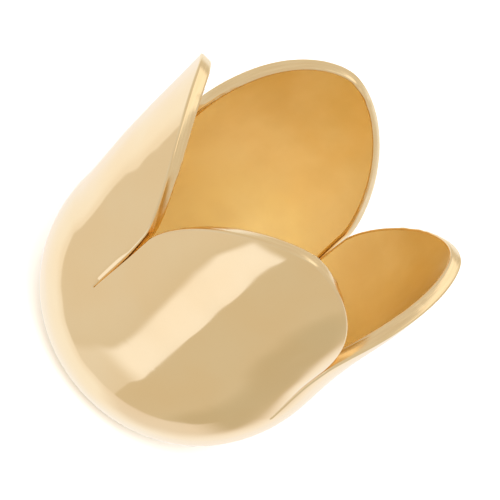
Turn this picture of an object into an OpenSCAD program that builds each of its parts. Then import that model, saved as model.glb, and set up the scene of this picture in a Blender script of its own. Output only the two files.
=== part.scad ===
// Bead cap: a stamped sheet-metal tulip that cups the end of a round bead.
// A round bowl with a thread hole in its base rises into tall petals, parted by narrow slits.
// The cap stands on the flat ring round its hole: its axis is Z and its base lies at Z = 0.
// A slope is the lean of the outer surface from level, in degrees: 0 at the base, 90 where it is upright.

/* [Cap] */
// Outer diameter of the bowl where it is widest
bulb_d = 9; // [8.8:0.1:9.4]
// Height from the base to the petal tips
cap_h = 9.9; // [9.5:0.1:10.3]
// Thickness of the sheet metal
wall = 0.4; // [0.3:0.05:0.5]

/* [Base] */
// Diameter of the thread hole
hole_d = 1.9; // [1:0.1:2]
// Diameter of the flat ring round the hole
ring_d = 2.3; // [2.2:0.1:2.5]

/* [Bowl and waist] */
// Radius of the low arc of the bowl, seen from the side
bowl_r = 3; // [2.8:0.1:3.2]
// Slope at which the low arc runs into the rounder side of the bowl
bowl_slope = 47; // [44:1:50]
// Slope at which the side of the bowl ends, past upright, so that the cap draws in
tuck_slope = 95.5; // [94:0.5:97]
// Radius of the hollow arc of the waist
waist_r = 11.3; // [10:0.1:13]
// Slope at which the waist ends, leaning outwards
flare_slope = 83; // [82:0.5:85]
// Radius of the long arc that brings the petals upright again
lip_r = 23.7; // [22:0.1:28]

/* [Petals] */
// Number of petals
petals = 4; // [3:1:6]
// Height of the foot of each slit
slit_z = 4.05; // [3.6:0.05:4.6]
// Width of each slit at its foot
slit_foot_w = 0.12; // [0.1:0.01:0.2]
// Width of each slit where the petals part
slit_top_w = 0.26; // [0.2:0.01:0.4]
// Height at which the petals part
part_z = 6.4; // [6:0.1:7]
// Fullness of the tip: 1 is pointed, and more is blunter
tip_power = 1.5; // [1.3:0.1:2.5]
// Fullness of the sides: 1 is straight, and more is rounder
side_power = 1.7; // [1.5:0.1:2.5]

/* [Hidden] */
$fn = 96;

hole_r = hole_d / 2;
ring_r = ring_d / 2;
bulb_r = bulb_d / 2;
// Angle from the middle of a petal to the middle of a slit
half_turn = 180 / petals;
// Straight steps along each rounded side of a petal
outline_steps = 16;
// How far the slits' cutters start from the axis, and how far they pass the tips and the outer surface
cutter_start = 1;
cutter_margin = 1;

// Direction out of the wall where its slope is given, in section
function outwards(slope) = [sin(slope), -cos(slope)];

// The side's radius follows from the widest diameter. Each centre lies on the normal at the joint
// with the arc before it, so that the arcs run into each other smoothly.
side_r = (bulb_r - ring_r - bowl_r * sin(bowl_slope)) / (1 - sin(bowl_slope));
bowl_centre = [ring_r, bowl_r];
side_centre = bowl_centre + (bowl_r - side_r) * outwards(bowl_slope);
waist_centre = side_centre + (side_r + waist_r) * outwards(tuck_slope);
lip_centre = waist_centre - (waist_r + lip_r) * outwards(flare_slope);
tip_slope = acos((lip_centre.y - cap_h) / lip_r);

// Outer surface in section, from the base ring up. A radius below 0 is hollow outwards.
CENTRE = 0;
RADIUS = 1;
START = 2;
END = 3;
STEPS = 4;
ARCS = [
    // centre, radius, start slope, end slope, steps
    [bowl_centre, bowl_r, 0, bowl_slope, 8],
    [side_centre, side_r, bowl_slope, tuck_slope, 8],
    [waist_centre, -waist_r, tuck_slope, flare_slope, 4],
    [lip_centre, lip_r, flare_slope, tip_slope, 4],
];
SIDE = ARCS[1];
WAIST = ARCS[2];
LIP = ARCS[3];

// Point of an arc at a slope, on the surface that lies a depth inside the outer one
function arc_point(arc, slope, depth) = arc[CENTRE] + (arc[RADIUS] - depth) * outwards(slope);

// Points of one surface of the sheet, from the base ring to the tips
function surface_points(depth) = [
    for (arc = ARCS)
        for (i = [(arc == ARCS[0] ? 0 : 1):arc[STEPS]])
            arc_point(arc, arc[START] + (arc[END] - arc[START]) * i / arc[STEPS], depth)
];

// Radius of the outer surface at a height above the low arc
function radius_on(arc, z) = arc[CENTRE].x + arc[RADIUS] * sin(acos((arc[CENTRE].y - z) / arc[RADIUS]));
function radius_at(z) =
    z < arc_point(SIDE, tuck_slope, 0).y ? radius_on(SIDE, z) :
    z < arc_point(WAIST, flare_slope, 0).y ? radius_on(WAIST, z) :
    radius_on(LIP, z);

// Half width of a petal where it parts from its neighbours, measured round the outer surface
part_half_w = radius_at(part_z) * half_turn * PI / 180 - slit_top_w / 2;

// Height and half width of a petal at a turn of 0 to 90 degrees round its outline, from the parting to the tip
function petal_z(turn) = part_z + (cap_h - part_z) * pow(sin(turn), 2 / tip_power);
function petal_half_w(turn) = part_half_w * pow(cos(turn), 2 / side_power);

// Distance of a petal's edge from the middle plane of the gap beside it, in the middle of the sheet
function edge_offset(r, half_w) = (r - wall / 2) * sin(half_turn - half_w / r * 180 / PI);

// One side of the gap between two petals: distance from the middle plane, and height
gap_side = [
    [slit_foot_w / 2, slit_z],
    for (i = [0:outline_steps])
        let (z = petal_z(90 * i / outline_steps))
        [edge_offset(radius_at(z), petal_half_w(90 * i / outline_steps)), z],
    [edge_offset(radius_at(cap_h), 0), cap_h + cutter_margin],
];
gap_outline = [
    each gap_side,
    for (i = [len(gap_side) - 1:-1:0])
        [-gap_side[i].x, gap_side[i].y],
];

// The wall in section: up the outer surface, and back down the inner one to the axis
module wall_section() {
    outer = surface_points(0);
    inner = surface_points(wall);
    polygon([
        [0, 0],
        each outer,
        for (i = [len(inner) - 1:-1:0])
            inner[i],
        [0, wall],
    ]);
}

// The gap between two petals, from the foot of its slit to above the tips, along +X
module petal_gap() {
    rotate([90, 0, 90])
        translate([0, 0, cutter_start])
            linear_extrude(bulb_r + cutter_margin)
                polygon(gap_outline);
}

module petal_cap() {
    color("gold")
        difference() {
            rotate_extrude()
                wall_section();
            translate([0, 0, -cutter_margin])
                cylinder(h = wall + 2 * cutter_margin, r = hole_r);
            for (i = [0:petals - 1])
                rotate([0, 0, half_turn + 2 * half_turn * i])
                    petal_gap();
        }
}

petal_cap();
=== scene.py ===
"""Bead cap: a stamped and gold-plated sheet-metal tulip with four petals, standing on its base ring."""

from math import acos, cos, pi, radians, sin

import bmesh
import bpy
from mathutils import Matrix, Vector
from mathutils.kdtree import KDTree


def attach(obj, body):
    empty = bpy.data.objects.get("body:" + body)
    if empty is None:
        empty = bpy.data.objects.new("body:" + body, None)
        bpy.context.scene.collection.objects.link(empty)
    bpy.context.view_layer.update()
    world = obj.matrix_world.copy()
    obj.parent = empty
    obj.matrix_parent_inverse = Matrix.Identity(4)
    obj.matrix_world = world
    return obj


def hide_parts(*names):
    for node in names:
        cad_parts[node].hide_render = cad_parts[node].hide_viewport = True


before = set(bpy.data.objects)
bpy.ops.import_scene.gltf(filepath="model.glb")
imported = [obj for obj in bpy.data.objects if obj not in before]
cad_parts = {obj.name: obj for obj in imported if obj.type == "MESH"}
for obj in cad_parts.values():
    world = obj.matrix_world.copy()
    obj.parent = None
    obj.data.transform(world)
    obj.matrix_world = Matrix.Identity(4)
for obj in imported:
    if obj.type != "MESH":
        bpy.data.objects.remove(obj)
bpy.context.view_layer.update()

MM = 0.001

# Driving sizes in millimetres, the same as in the part's source.
# A slope is the lean of the outer surface from level, in degrees.
BULB_D = 9.0  # widest outer diameter of the bowl
CAP_H = 9.9  # from the base ring to the petal tips
WALL = 0.4  # thickness of the sheet
HOLE_D = 1.9  # thread hole
RING_D = 2.3  # flat ring that the cap stands on
BOWL_R = 3.0  # low arc of the bowl, seen from the side
BOWL_SLOPE = 47.0  # where the low arc runs into the side of the bowl
TUCK_SLOPE = 95.5  # where the side runs into the waist
WAIST_R = 11.3  # hollow arc of the waist
FLARE_SLOPE = 83.0  # where the waist runs into the lip
LIP_R = 23.7  # long arc that brings the petals upright again
PETALS = 4  # the first one points along +X
SLIT_Z = 4.05  # height of the foot of each slit
PART_Z = 6.4  # height at which the petals part
TIP_POWER = 1.5  # fullness of the tips
SIDE_POWER = 1.7  # fullness of the petals' sides

# Widths of the nearly closed slits, which are wider in the part's source
SLIT_FOOT_W = 0.012
SLIT_TOP_W = 0.12

# What the stamping and polishing leave on the sheet, in millimetres
OUTER_EDGE_R = 0.06  # rounding of the petals' cut edge, outside
INNER_EDGE_R = 0.09  # and inside
HOLE_EDGE_R = 0.06  # rounding of the hole's edge
BLEND_REACH = 0.9  # how far the arcs of the section run into each other
WAVE = 0.008  # unevenness of the surface
WAVE_FADE = 1.5  # over what length it dies away at the base ring and towards the tips

# Burr on the inner corner of the cut edge, in millimetres
BURR = 0.02
BURR_FADE = 1.0  # over what length it begins, above the slit
BURR_LEAN = 0.7  # share of it each way: out of the edge, and out of the inner surface
BURR_SHIFT = 17.3  # how far its pattern is moved along from petal to petal

# How the petals differ, from the one on +X round by +Y, in millimetres
PETAL_SET = (0.0, 0.0, 0.0, 0.17)  # how far each stands out at its waist
PETAL_SHORT = (0.0, 0.0, 0.0, 0.15)  # how much shorter each came out
EDGE_ROLL = (0.05, 0.03, 0.015, 0.0)  # how far each turns in along its cut edge
EDGE_ROLL_W = 0.7  # width of the margin that turns in
EDGE_ROLL_RISE = 0.25  # share of a petal's height over which the turning in begins
SET_SCALE = 45.6  # brings the peak of the curve that PETAL_SET follows up to 1

# The side that is pressed in at the slit between the petals on -Y and +X, in millimetres
PRESSED_PETAL = 3
PRESS = 0.12
PRESS_W = 0.3  # width of the pressed margin
PRESS_FOOT = 0.15  # over what length it begins at the slit's foot
PRESS_TOP = 1.2  # over what length it ends below the parting

# Waves of the sheet's unevenness: share, radians per millimetre along X, Y and Z, and start
WAVES = (
    (0.5, 0.9, 1.3, -0.7, 1.1),
    (0.3, -1.4, 1.9, 1.6, 4.0),
    (0.2, 2.2, -1.7, 2.6, 2.5),
    (0.08, 2.9, 4.3, -3.7, 0.6),
    (0.07, 2.7, -3.1, 5.9, 3.9),
)
# Fine teeth of the burr, and the longer stretches that have them: radians per millimetre, and start
BURR_TEETH = ((7.1, 0.0), (11.7, 1.3), (17.9, 0.4))
BURR_STRETCHES = ((1.3, 0.8), (2.3, 0.0))
# The middle share of each, and how far one wave swings it
TEETH_MIDDLE, TEETH_SWING = 0.5, 0.35
STRETCH_MIDDLE, STRETCH_SWING = 0.3, 0.7

# Mesh steps
SECTION_STEP = 0.02  # along the section, in millimetres
COLUMNS = 60  # across a petal
RING_ROWS = 44  # below the slits
FOOT_STEPS = 6  # round the foot of a slit
SLIT_STEPS = 18  # up a slit
PETAL_STEPS = 60  # up the free side of a petal
ROUND_STEPS = 4  # round the corner of a cut edge
OUTLINE_SPLIT = 8  # places in each step of the outline, for measuring the distance to it
HALVINGS = 40  # in the search for a height
MERGE = 1e-5  # points closer than this become one, in millimetres
EDGE_MAP = 20.0  # how far apart the petals' edges lie in the texture map

HALF_TURN = pi / PETALS
HOLE_R = HOLE_D / 2
RING_R = RING_D / 2


def fade(*shares):
    """The least of the shares given, kept between 0 and 1."""
    return max(0.0, min(1.0, *shares))


# The section of the cap

def outwards(slope):
    """Direction out of the wall, as (radius, height), where the outer surface leans by slope from level."""
    return Vector((sin(slope), -cos(slope)))


def make_arcs():
    """The arcs of the outer surface from the base ring up: (centre, radius, start slope, end slope)."""
    bowl, tuck, flare = radians(BOWL_SLOPE), radians(TUCK_SLOPE), radians(FLARE_SLOPE)
    side_r = (BULB_D / 2 - RING_R - BOWL_R * sin(bowl)) / (1 - sin(bowl))
    bowl_centre = Vector((RING_R, BOWL_R))
    side_centre = bowl_centre + (BOWL_R - side_r) * outwards(bowl)
    waist_centre = side_centre + (side_r + WAIST_R) * outwards(tuck)
    lip_centre = waist_centre - (WAIST_R + LIP_R) * outwards(flare)
    tip = acos((lip_centre.y - CAP_H) / LIP_R)
    return [
        (bowl_centre, BOWL_R, 0.0, bowl),
        (side_centre, side_r, bowl, tuck),
        (waist_centre, -WAIST_R, tuck, flare),
        (lip_centre, LIP_R, flare, tip),
    ]


def slope_along(arcs, s):
    """Slope of the outer surface at s along it, from the base ring up, before smoothing."""
    for i, (_, radius, start, end) in enumerate(arcs):
        length = radius * (end - start)
        if s <= length or i == len(arcs) - 1:
            return start + s / radius
        s -= length


def make_section():
    """The outer surface as a table of (slope, radius, height), and the step between its rows.

    The arcs run into each other gently, as pressed sheet does: each slope is the mean of its neighbourhood.
    The table is then stretched a little, so that it ends at the source's tip.
    """
    arcs = make_arcs()
    length = sum(radius * (end - start) for _, radius, start, end in arcs)
    count = round(length / SECTION_STEP)
    step = length / count
    sharp = [slope_along(arcs, step * i) for i in range(count + 1)]
    table = []
    r, z = RING_R, 0.0
    for i in range(count + 1):
        reach = min(i, count - i, round(BLEND_REACH / step))
        near = sharp[i - reach:i + reach + 1]
        slope = sum(near) / len(near)
        if table:
            middle = (slope + table[-1][0]) / 2
            r += step * cos(middle)
            z += step * sin(middle)
        table.append((slope, r, z))
    lip_centre, _, _, tip = arcs[-1]
    widen = (lip_centre.x + LIP_R * sin(tip) - RING_R) / (r - RING_R)
    heighten = CAP_H / z
    return [(slope, RING_R + widen * (r - RING_R), heighten * z) for slope, r, z in table], step


SECTION, STEP = make_section()
LENGTH = STEP * (len(SECTION) - 1)


def on_section(s):
    """(slope, radius, height) of the outer surface at s along it from the base ring."""
    steps = s / STEP
    i = max(0, min(len(SECTION) - 2, int(steps)))
    share = fade(steps - i)
    return [low + (high - low) * share for low, high in zip(SECTION[i], SECTION[i + 1])]


def section(s, depth):
    """Point (radius, height) of the sheet: s along its outer surface from the ring, and a depth inside it."""
    if s <= 0:
        return Vector((RING_R + s, depth))
    slope, r, z = on_section(s)
    return Vector((r, z)) - depth * outwards(slope)


def s_at(z):
    """Where the outer surface reaches the height z, along it from the ring."""
    low, high = 0.0, LENGTH
    for _ in range(HALVINGS):
        middle = (low + high) / 2
        low, high = (middle, high) if on_section(middle)[2] < z else (low, middle)
    return low


# The outline of a petal, as points (turn from the petal's middle, s along the outer surface)

S_FOOT = s_at(SLIT_Z)
S_PART = s_at(PART_Z)


def petal_outline():
    """One side of the outline, from the middle of the slit's foot up to the petal's tip."""
    foot_r = SLIT_FOOT_W / 2
    part_half_w = section(S_PART, 0).x * HALF_TURN - SLIT_TOP_W / 2
    points = []
    for i in range(FOOT_STEPS + 1):
        turn = pi / 2 * i / FOOT_STEPS
        s = S_FOOT + foot_r * (1 - cos(turn))
        points.append((HALF_TURN - foot_r * sin(turn) / section(s, 0).x, s))
    for i in range(1, SLIT_STEPS):
        share = i / SLIT_STEPS
        s = S_FOOT + foot_r + (S_PART - S_FOOT - foot_r) * share
        gap = foot_r + (SLIT_TOP_W / 2 - foot_r) * share ** 2
        points.append((HALF_TURN - gap / section(s, 0).x, s))
    for i in range(PETAL_STEPS):
        turn = pi / 2 * i / PETAL_STEPS
        s = s_at(PART_Z + (CAP_H - PART_Z) * sin(turn) ** (2 / TIP_POWER))
        half_w = part_half_w * cos(turn) ** (2 / SIDE_POWER)
        points.append((half_w / section(s, 0).x, s))
    return points + [(0.0, s_at(CAP_H))]


def outline_normals(points):
    """Direction out of the petal at each point of its outline, as (round the cap, up the sheet)."""
    normals = [Vector((0.0, 1.0))]
    for (turn_0, s_0), (_, s), (turn_1, s_1) in zip(points, points[1:], points[2:]):
        along = Vector((section(s, 0).x * (turn_1 - turn_0), s_1 - s_0)).normalized()
        normals.append(Vector((along.y, -along.x)))
    return normals + [Vector((0.0, 1.0))]


OUTLINE = petal_outline()
NORMALS = outline_normals(OUTLINE)


def inset(i, distance):
    """The outline's point i, moved into the petal."""
    (turn, s), normal = OUTLINE[i], NORMALS[i]
    return turn - distance * normal.x / section(s, 0).x, s - distance * normal.y


def outline_lengths():
    """How far along the outline each of its points lies."""
    lengths = [0.0]
    for (turn_0, s_0), (turn_1, s_1) in zip(OUTLINE, OUTLINE[1:]):
        lengths.append(lengths[-1] + Vector((section(s_1, 0).x * (turn_1 - turn_0), s_1 - s_0)).length)
    return lengths


def outline_tree():
    """A search tree of places close together along the outline: (turn * radius, s)."""
    places = []
    for (turn_0, s_0), (turn_1, s_1) in zip(OUTLINE, OUTLINE[1:]):
        for i in range(OUTLINE_SPLIT):
            share = i / OUTLINE_SPLIT
            turn, s = turn_0 + (turn_1 - turn_0) * share, s_0 + (s_1 - s_0) * share
            places.append((turn * section(s, 0).x, s, 0.0))
    tree = KDTree(len(places))
    for i, at in enumerate(places):
        tree.insert(at, i)
    tree.balance()
    return tree


EDGE_PLACES = outline_tree()


def edge_distance(across, s):
    """How far a place of a petal lies from its cut edge."""
    _, _, distance = EDGE_PLACES.find((abs(across) * section(s, 0).x, s, 0.0))
    return distance


# Where each point of the sheet lies

def wave(x, y, z):
    """Slow unevenness of the hand-polished sheet, about -1 to 1."""
    return sum(share * sin(a * x + b * y + c * z + start) for share, a, b, c, start in WAVES)


def ripple(along, waves, middle, swing):
    """A share from 0 to 1 that the waves make at a place along an edge."""
    return fade(middle + swing * sum(sin(per_mm * along + start) for per_mm, start in waves))


def ragged(along):
    """How far the burr of a cut edge stands out at a place along it, from 0 to 1."""
    teeth = ripple(along, BURR_TEETH, TEETH_MIDDLE, TEETH_SWING)
    return teeth * ripple(along, BURR_STRETCHES, STRETCH_MIDDLE, STRETCH_SWING)


def own_lift(petal, across, s, height):
    """How far a petal's own form moves the sheet out, at a turn across it and a share of its height."""
    distance = edge_distance(across, s)
    stand = SET_SCALE * height ** 2 * (1 - height) ** 4 * cos(across * PETALS / 2) ** 2
    roll = fade(1 - distance / EDGE_ROLL_W) ** 2 * fade(height / EDGE_ROLL_RISE)
    lift = PETAL_SET[petal] * stand - EDGE_ROLL[petal] * roll
    if petal == PRESSED_PETAL and across > 0:
        ends = fade((s - S_FOOT) / PRESS_FOOT, (S_PART - s) / PRESS_TOP)
        lift -= PRESS * fade(1 - distance / PRESS_W) ** 2 * ends
    return lift


def place(turn, s, depth):
    """Point in the cap's frame, in millimetres, at a turn round the cap, s up the sheet and a depth in it."""
    number = round(turn / (2 * HALF_TURN))
    petal = number % PETALS
    across = turn - 2 * HALF_TURN * number
    height = max(0.0, (s - S_FOOT) / (LENGTH - S_FOOT))
    at = section(s - PETAL_SHORT[petal] * height ** 2, depth)
    x, y = at.x * cos(turn), at.x * sin(turn)
    lift = WAVE * wave(x, y, at.y) * fade(s / WAVE_FADE, (LENGTH - s) / WAVE_FADE)
    lift += own_lift(petal, across, s, height)
    out = (section(s, 0) - section(s, WALL)).normalized()
    return Vector((x + lift * out.x * cos(turn), y + lift * out.x * sin(turn), at.y + lift * out.y))


# The mesh. A grid's points are pairs: the vertex, and its place in the texture map in millimetres.

OUTSIDE, INSIDE, EDGE = range(3)  # the finishes, in the order of the mesh's materials


def column(c):
    """Where column c of a petal lies, from -1 to 1 across it. Columns are closer together near its sides."""
    return sin(pi / 2 * (2 * c / COLUMNS - 1))


def rows(edge_r):
    """Rows of one surface, from the hole to the tip: (turn from the petal's middle to the row's end, s)."""
    s_hole = HOLE_R - RING_R + HOLE_EDGE_R
    _, s_top = inset(0, edge_r)
    below = [(HALF_TURN, s_hole + (s_top - s_hole) * i / RING_ROWS) for i in range(RING_ROWS)]
    return below + [inset(i, edge_r) for i in range(len(OUTLINE))]


def add_strips(mesh, grid, flip, material):
    """Faces between the neighbouring rows of a grid of points."""
    uv = mesh.loops.layers.uv.verify()
    for low, high in zip(grid, grid[1:]):
        for c in range(len(low) - 1):
            corners = [low[c], low[c + 1], high[c + 1], high[c]]
            if flip:
                corners.reverse()
            face = mesh.faces.new([vertex for vertex, _ in corners])
            face.material_index = material
            face.smooth = True
            for loop, (_, at) in zip(face.loops, corners):
                loop[uv].uv = at


def add_surface(mesh, depth, edge_r, flip, material):
    """One surface of the sheet, petal by petal."""
    for petal in range(PETALS):
        grid = []
        for half, s in rows(edge_r):
            line = []
            for c in range(COLUMNS + 1):
                turn = 2 * HALF_TURN * petal + half * column(c)
                vertex = mesh.verts.new(place(turn, s, depth))
                line.append((vertex, (turn * BULB_D / 2, s + depth)))
            grid.append(line)
        add_strips(mesh, grid, flip, material)


def edge_profile(outer_r, inner_r):
    """Section of a cut edge, as (distance into the sheet, depth), from the outer surface to the inner one."""
    turns = [pi / 2 * i / ROUND_STEPS for i in range(ROUND_STEPS + 1)]
    outer = [(outer_r * (1 - sin(turn)), outer_r * (1 - cos(turn))) for turn in turns]
    inner = [(inner_r * (1 - cos(turn)), WALL - inner_r * (1 - sin(turn))) for turn in turns]
    return outer + inner


def with_burr(profile, burr):
    """The section of a cut edge, with its inner corner drawn out by the burr."""
    points = []
    for distance, depth in profile:
        corner = max(0.0, (depth - (WALL - INNER_EDGE_R)) / INNER_EDGE_R)
        lip = BURR_LEAN * burr * sin(pi * corner)
        points.append((distance - lip, depth + lip))
    return points


def add_petal_edges(mesh):
    """The cut edge, in one loop round all the petals and slits."""
    profile = edge_profile(OUTER_EDGE_R, INNER_EDGE_R)
    lengths = outline_lengths()
    slit_end = lengths[FOOT_STEPS + SLIT_STEPS]
    for petal in range(PETALS):
        for side in (1, -1):
            grid = []
            for i, along in enumerate(lengths):
                burr = BURR * fade((along - slit_end) / BURR_FADE)
                burr *= ragged(side * (lengths[-1] - along) + BURR_SHIFT * petal)
                line = []
                for distance, depth in with_burr(profile, burr):
                    turn, s = inset(i, distance)
                    vertex = mesh.verts.new(place(2 * HALF_TURN * petal + side * turn, s, depth))
                    line.append((vertex, (along + EDGE_MAP * (2 * petal + side), depth)))
                grid.append(line)
            add_strips(mesh, grid, flip=side < 0, material=EDGE)


def add_hole_edge(mesh):
    """The edge of the thread hole."""
    grid = []
    for distance, depth in edge_profile(HOLE_EDGE_R, HOLE_EDGE_R):
        line = []
        for i in range(PETALS * COLUMNS + 1):
            petal, c = divmod(i, COLUMNS)
            turn = HALF_TURN * (2 * petal + column(c))
            vertex = mesh.verts.new(place(turn, HOLE_R - RING_R + distance, depth))
            line.append((vertex, (turn * HOLE_R, depth)))
        grid.append(line)
    add_strips(mesh, grid, flip=True, material=EDGE)


def make_cap(outside, inside, edge):
    """The whole cap, as one closed mesh with its three finishes."""
    mesh = bmesh.new()
    add_surface(mesh, depth=0.0, edge_r=OUTER_EDGE_R, flip=False, material=OUTSIDE)
    add_surface(mesh, depth=WALL, edge_r=INNER_EDGE_R, flip=True, material=INSIDE)
    add_petal_edges(mesh)
    add_hole_edge(mesh)
    bmesh.ops.remove_doubles(mesh, verts=mesh.verts, dist=MERGE)
    bmesh.ops.scale(mesh, vec=(MM, MM, MM), verts=mesh.verts)
    data = bpy.data.meshes.new("cap_shell")
    mesh.to_mesh(data)
    mesh.free()
    for material in (outside, inside, edge):
        data.materials.append(material)
    cap = bpy.data.objects.new("cap_shell", data)
    bpy.context.scene.collection.objects.link(cap)
    return cap


# Nodes

# Sockets of the Mix node for colours, which share their names with those for other types
MIX_SHARE = 0
MIX_LOW = 6
MIX_HIGH = 7
MIX_COLOR = 2


class Nodes:
    """Short ways to add nodes to a tree."""

    def __init__(self, tree):
        self.nodes, self.links = tree.nodes, tree.links

    def ramp(self, value, low, high, to_low=0.0, to_high=1.0):
        """A smooth step from to_low, where the value is low, to to_high, where it is high."""
        node = self.nodes.new("ShaderNodeMapRange")
        node.interpolation_type = "SMOOTHSTEP"
        self.links.new(value, node.inputs["Value"])
        for name, number in (("From Min", low), ("From Max", high), ("To Min", to_low), ("To Max", to_high)):
            node.inputs[name].default_value = number
        return node.outputs["Result"]

    def calculate(self, operation, a, b):
        """Two values taken together by a Math node's operation."""
        node = self.nodes.new("ShaderNodeMath")
        node.operation = operation
        self.links.new(a, node.inputs[0])
        self.links.new(b, node.inputs[1])
        return node.outputs["Value"]

    def product(self, first, *others):
        """All the values multiplied."""
        for other in others:
            first = self.calculate("MULTIPLY", first, other)
        return first

    def mix(self, low, high, share):
        """A colour between low and high, which are each a plain colour or a socket."""
        node = self.nodes.new("ShaderNodeMix")
        node.data_type = "RGBA"
        self.links.new(share, node.inputs[MIX_SHARE])
        for index, color in ((MIX_LOW, low), (MIX_HIGH, high)):
            if isinstance(color, tuple):
                node.inputs[index].default_value = (*color, 1)
            else:
                self.links.new(color, node.inputs[index])
        return node.outputs[MIX_COLOR]


# Materials

# Tones of the gold, as linear red, green and blue
MIRROR_WARM, MIRROR_PALE = (1.0, 0.735, 0.41), (1.0, 0.76, 0.445)
# The inside's deep tone is painted shade near the tips, a deeper orange than the outside that also paints in
# light bounced between the petals; its pale tone is the painted light low in the cup.
SATIN_SHADED, SATIN_LIT = (0.70, 0.445, 0.115), (1.0, 0.805, 0.38)
CUT_WARM, CUT_PALE = (0.95, 0.715, 0.42), (1.0, 0.79, 0.49)
# Tints of their glancing reflections
PLATING_TINT = (1.0, 0.975, 0.94)
CUT_TINT = (1.0, 0.94, 0.82)

SHADED_Z = 9.8  # height from which the inside's painted shade is deepest, in millimetres
LIT_Z = 4.2  # height below which its painted light makes it palest


class Finish(Nodes):
    """A node-built metal: its shader, and short ways to add textures that are placed in millimetres."""

    def __init__(self, name, metallic, tint=PLATING_TINT):
        self.material = bpy.data.materials.new(name)
        self.material.use_nodes = True
        super().__init__(self.material.node_tree)
        self.shader = self.nodes["Principled BSDF"]
        self.shader.inputs["Metallic"].default_value = metallic
        self.shader.inputs["Specular Tint"].default_value = (*tint, 1)
        coordinates = self.nodes.new("ShaderNodeTexCoord")
        self.solid = self.scaled(coordinates.outputs["Object"], (1 / MM, 1 / MM, 1 / MM))
        self.sheet = coordinates.outputs["UV"]

    def scaled(self, coordinates, scale):
        """Coordinates multiplied by a scale along each axis."""
        node = self.nodes.new("ShaderNodeMapping")
        self.links.new(coordinates, node.inputs["Vector"])
        node.inputs["Scale"].default_value = scale
        return node.outputs["Vector"]

    def noise(self, coordinates, per_mm, detail=2.0):
        """Cloudy noise from 0 to 1, mostly between 0.3 and 0.7."""
        node = self.nodes.new("ShaderNodeTexNoise")
        self.links.new(coordinates, node.inputs["Vector"])
        node.inputs["Scale"].default_value = per_mm
        node.inputs["Detail"].default_value = detail
        return node.outputs["Fac"]

    def height(self):
        """Height above the base ring, in millimetres."""
        node = self.nodes.new("ShaderNodeSeparateXYZ")
        self.links.new(self.solid, node.inputs["Vector"])
        return node.outputs["Z"]

    def color(self, low, high, share):
        self.links.new(self.mix(low, high, share), self.shader.inputs["Base Color"])

    def roughness(self, value):
        self.links.new(value, self.shader.inputs["Roughness"])

    def bump(self, height, micrometres):
        node = self.nodes.new("ShaderNodeBump")
        self.links.new(height, node.inputs["Height"])
        node.inputs["Distance"].default_value = micrometres * 1e-6
        self.links.new(node.outputs["Normal"], self.shader.inputs["Normal"])


def polished_gold():
    """Mirror-bright plating: slow changes of tone, patches that the polish left duller, faint hairlines."""
    gold = Finish("gold_polished", metallic=1.0)
    tone = gold.ramp(gold.noise(gold.solid, per_mm=0.45), 0.3, 0.7)
    gold.color(MIRROR_WARM, MIRROR_PALE, tone)
    dull = gold.ramp(gold.noise(gold.solid, per_mm=0.8, detail=3.0), 0.35, 0.75, 0.045, 0.11)
    streaks = gold.noise(gold.scaled(gold.sheet, (0.25, 9.0, 1.0)), per_mm=2.0, detail=4.0)
    hairlines = gold.ramp(streaks, 0.62, 0.75, 0.0, 0.06)
    gold.roughness(gold.calculate("ADD", dull, hairlines))
    gold.bump(gold.noise(gold.solid, per_mm=0.8, detail=1.0), micrometres=14.0)
    return gold.material


def satin_gold():
    """The unpolished inside: soft, a little mottled, with painted shade deeper towards the tips and painted
    light paler low down, and a fine grain.
    """
    gold = Finish("gold_satin", metallic=0.73)
    blotches = gold.ramp(gold.noise(gold.solid, per_mm=0.55, detail=4.0), 0.3, 0.7, 0.0, 0.2)
    # Painted shade and light: deeper orange towards the tips, paler low in the cup, for how the light falls
    # into it.
    painted_light_below = gold.ramp(gold.height(), SHADED_Z, LIT_Z, 0.0, 0.85)
    gold.color(SATIN_SHADED, SATIN_LIT, gold.calculate("ADD", blotches, painted_light_below))
    gold.roughness(gold.ramp(gold.noise(gold.solid, per_mm=1.3, detail=5.0), 0.3, 0.7, 0.30, 0.42))
    gold.bump(gold.noise(gold.solid, per_mm=3.5, detail=3.0), micrometres=2.0)
    return gold.material


def cut_gold():
    """The plated cut edge: the marks of filing along it show through."""
    gold = Finish("gold_edge", metallic=1.0, tint=CUT_TINT)
    marks = gold.noise(gold.scaled(gold.sheet, (0.5, 8.0, 1.0)), per_mm=1.5, detail=4.0)
    gold.color(CUT_WARM, CUT_PALE, gold.ramp(marks, 0.3, 0.7))
    gold.roughness(gold.ramp(marks, 0.35, 0.7, 0.14, 0.25))
    gold.bump(marks, micrometres=4.0)
    return gold.material


cap = make_cap(polished_gold(), satin_gold(), cut_gold())
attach(cap, "root")
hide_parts("petal_cap")


# Camera, at the photograph's angle to the cap

CAMERA_RIGHT = Vector((-0.1399, 0.7613, 0.6331))
CAMERA_UP = Vector((-0.5834, -0.5800, 0.5685))
CAMERA_LENS = 196.0
CAMERA_DISTANCE = 76.23  # from the place it aims at, in millimetres
AIM_Z = 5.5  # height on the cap's axis that it aims near, in millimetres
AIM_RIGHT = 0.469  # how far its aim lies to the right of that, in millimetres
AIM_UP = 0.165  # and above that


def add_camera():
    """The photograph's view of the cap, through a long lens."""
    back = CAMERA_RIGHT.cross(CAMERA_UP)
    aim = Vector((0, 0, AIM_Z)) + AIM_RIGHT * CAMERA_RIGHT + AIM_UP * CAMERA_UP
    data = bpy.data.cameras.new("camera")
    data.lens = CAMERA_LENS
    data.clip_start = MM
    camera = bpy.data.objects.new("camera", data)
    turn = Matrix((CAMERA_RIGHT, CAMERA_UP, back)).transposed()
    camera.matrix_world = Matrix.Translation((aim + CAMERA_DISTANCE * back) * MM) @ turn.to_4x4()
    bpy.context.scene.collection.objects.link(camera)
    bpy.context.scene.camera = camera


# Floor and light, in metres

FLOOR_R = 0.6
LAMP_D = 0.25
LAMP_PLACE = (0.20, -0.06, 0.15)
LAMP_WATTS = 1.8


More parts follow.
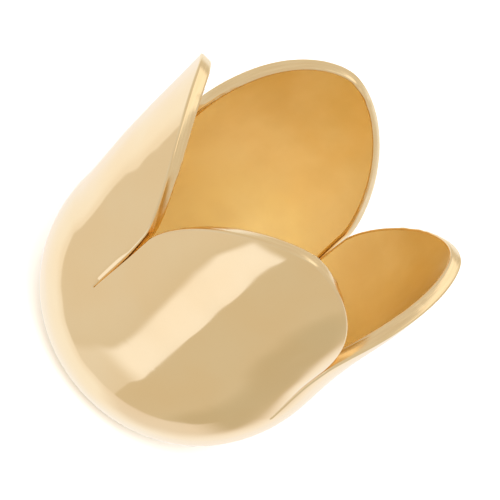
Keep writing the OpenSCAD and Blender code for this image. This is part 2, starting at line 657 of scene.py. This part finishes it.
def add_floor():
    """A round white floor, left out of the metal's reflections."""
    mesh = bmesh.new()
    bmesh.ops.create_circle(mesh, cap_ends=True, segments=64, radius=FLOOR_R)
    data = bpy.data.meshes.new("floor")
    mesh.to_mesh(data)
    mesh.free()
    floor = bpy.data.objects.new("floor", data)
    material = bpy.data.materials.new("floor_white")
    material.use_nodes = True
    shader = material.node_tree.nodes["Principled BSDF"]
    shader.inputs["Base Color"].default_value = (0.93, 0.93, 0.93, 1)
    shader.inputs["Roughness"].default_value = 0.9
    shader.inputs["Specular IOR Level"].default_value = 0.1
    data.materials.append(material)
    bpy.context.scene.collection.objects.link(floor)
    floor.visible_glossy = False


def add_lamp():
    """A large soft lamp above the floor, to one side, left out of the metal's reflections."""
    data = bpy.data.lights.new("lamp", "AREA")
    data.shape = "DISK"
    data.size = LAMP_D
    data.energy = LAMP_WATTS
    lamp = bpy.data.objects.new("lamp", data)
    lamp.location = LAMP_PLACE
    lamp.visible_glossy = False
    bpy.context.scene.collection.objects.link(lamp)


# The light tent that the metal reflects. Its zones are soft-edged, and lie at fixed directions from the cap.

def direction(azimuth, elevation):
    """Direction from the cap at an azimuth and elevation in degrees, of length 1."""
    a, e = radians(azimuth), radians(elevation)
    return Vector((cos(e) * cos(a), cos(e) * sin(a), sin(e)))


TO_CAMERA = direction(-19.9, 31.7)
TO_SIDE = direction(-102, 0)
TO_FRONT = direction(-12, 0)

# Light of the tent's parts, as linear red, green and blue
CLOTH_LIGHT = (0.97, 1.04, 1.17)
CLOTH_RIM = (0.91, 0.94, 1.01)
CLOTH_DIM = (0.82, 0.82, 0.86)
CLOTH_MIDDLE = (1.0, 1.01, 1.02)
WALL_GREY = (0.66, 0.63, 0.56)
WALL_PALE = (0.74, 0.73, 0.71)
WALL_PATCH = (0.575, 0.545, 0.46)
TALL_LAMP = (1.0, 1.06, 1.22)
UPPER_PART = (0.70, 0.66, 0.58)
CEILING = (1.12, 1.09, 1.02)


class Tent(Nodes):
    """The world, and its zones. A zone's limits are cosines of the angle from a direction."""

    def __init__(self):
        world = bpy.data.worlds.new("tent")
        world.use_nodes = True
        bpy.context.scene.world = world
        super().__init__(world.node_tree)
        self.coordinates = self.nodes.new("ShaderNodeTexCoord").outputs["Generated"]
        self.height = self.towards(direction(0, 90))

    def towards(self, way):
        """Cosine of the angle from a direction, everywhere in the tent."""
        node = self.nodes.new("ShaderNodeVectorMath")
        node.operation = "DOT_PRODUCT"
        self.links.new(self.coordinates, node.inputs[0])
        node.inputs[1].default_value = way
        return node.outputs["Value"]

    def disc(self, way, start, full, to_low=0.0, to_high=1.0):
        """A round zone about a direction: how many degrees from it the zone starts, and is full."""
        return self.ramp(self.towards(way), cos(radians(start)), cos(radians(full)), to_low, to_high)

    def cloth(self):
        """White cloth behind and under the cap, as the camera sees it, dimmer low on one side."""
        away = self.towards(TO_CAMERA)
        color = self.mix(CLOTH_LIGHT, CLOTH_RIM, self.ramp(away, -0.58, -0.44))
        aside = self.ramp(self.towards(direction(240, 0)), 0.0, -0.22)
        dim = self.product(aside, self.ramp(away, -0.82, -0.62))
        color = self.mix(color, CLOTH_DIM, dim)
        return self.mix(color, CLOTH_MIDDLE, self.ramp(away, -0.87, -0.97))

    def tall_lamp(self):
        """How brightly the tall lamp shines: a strip whose foot bends aside, brightest in its middle."""
        bend = self.ramp(self.height, -0.68, -0.86, 0.0, 0.08)
        one_side = self.ramp(self.calculate("SUBTRACT", self.towards(TO_SIDE), bend), 0.245, 0.155)
        other_side = self.ramp(self.calculate("ADD", self.towards(-TO_SIDE), bend), 0.220, 0.205)
        front = self.ramp(self.towards(TO_FRONT), 0.0, 0.1)
        foot = self.ramp(self.height, -0.87, -0.68, 0.35, 1.0)
        top = self.ramp(self.height, -0.36, -0.46)
        glow = self.disc(direction(-12, -38), 16, 3, 0.9, 1.0)
        return self.product(one_side, other_side, front, foot, top, glow)

    def wall(self):
        """Grey wall, paler on one side, with a darker patch and the tall lamp."""
        paler = self.ramp(self.towards(TO_SIDE), -0.3, 0.6)
        color = self.mix(WALL_GREY, WALL_PALE, paler)
        color = self.mix(color, WALL_PATCH, self.disc(direction(78, -42), 22, 8))
        return self.mix(color, TALL_LAMP, self.tall_lamp())

    def wall_zone(self):
        """Where the wall hangs: everywhere round the camera, and further down on its side of the cap."""
        round_camera = self.ramp(self.towards(TO_CAMERA), -0.435, -0.41)
        in_front = self.ramp(self.towards(direction(7, 0)), -0.14, 0.04)
        lower = self.product(in_front, self.ramp(self.height, -0.80, -0.62))
        return self.calculate("MAXIMUM", round_camera, lower)

    def ceiling_zone(self):
        """Where the ceiling shines: a band overhead."""
        across = self.towards(direction(90, 0))
        one_side, other_side = self.ramp(across, 0.50, 0.40), self.ramp(across, -0.08, 0.10)
        return self.product(one_side, other_side, self.ramp(self.height, 0.60, 0.74))


def add_tent():
    """The whole tent: cloth and wall, a warm grey upper part, and the ceiling's band."""
    tent = Tent()
    color = tent.mix(tent.cloth(), tent.wall(), tent.wall_zone())
    color = tent.mix(color, UPPER_PART, tent.ramp(tent.height, 0.0, 0.25))
    color = tent.mix(color, CEILING, tent.ceiling_zone())
    tent.links.new(color, tent.nodes["Background"].inputs["Color"])


add_camera()
add_floor()
add_lamp()
add_tent()
bpy.context.scene.view_settings.view_transform = "Standard"
